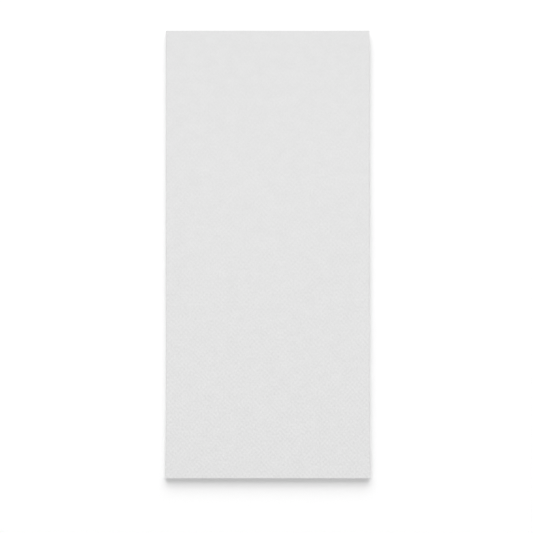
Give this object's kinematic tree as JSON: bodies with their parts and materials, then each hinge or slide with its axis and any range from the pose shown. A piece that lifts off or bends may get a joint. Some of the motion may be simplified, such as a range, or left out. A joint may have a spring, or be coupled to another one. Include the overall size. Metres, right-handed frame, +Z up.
{
  "type": "paper napkin",
  "caption": "White embossed tissue napkin, folded once across and twice along its length into a slim flat rectangle with soft folded edges.",
  "frame": {"origin": "centre of the napkin's outline at the height of the surface that it lies on", "axes": "+X across the width towards the single long fold and the free long edges, +Y along the length from the end fold towards the open end, +Z up"},
  "size_m": [0.0984, 0.216, 0.0033],
  "materials": {
    "tissue": "soft matt two-ply tissue with a fine all-over dot embossing"
  },
  "bodies": {
    "root": {"napkin": "tissue"}
  },
  "joints": []
}
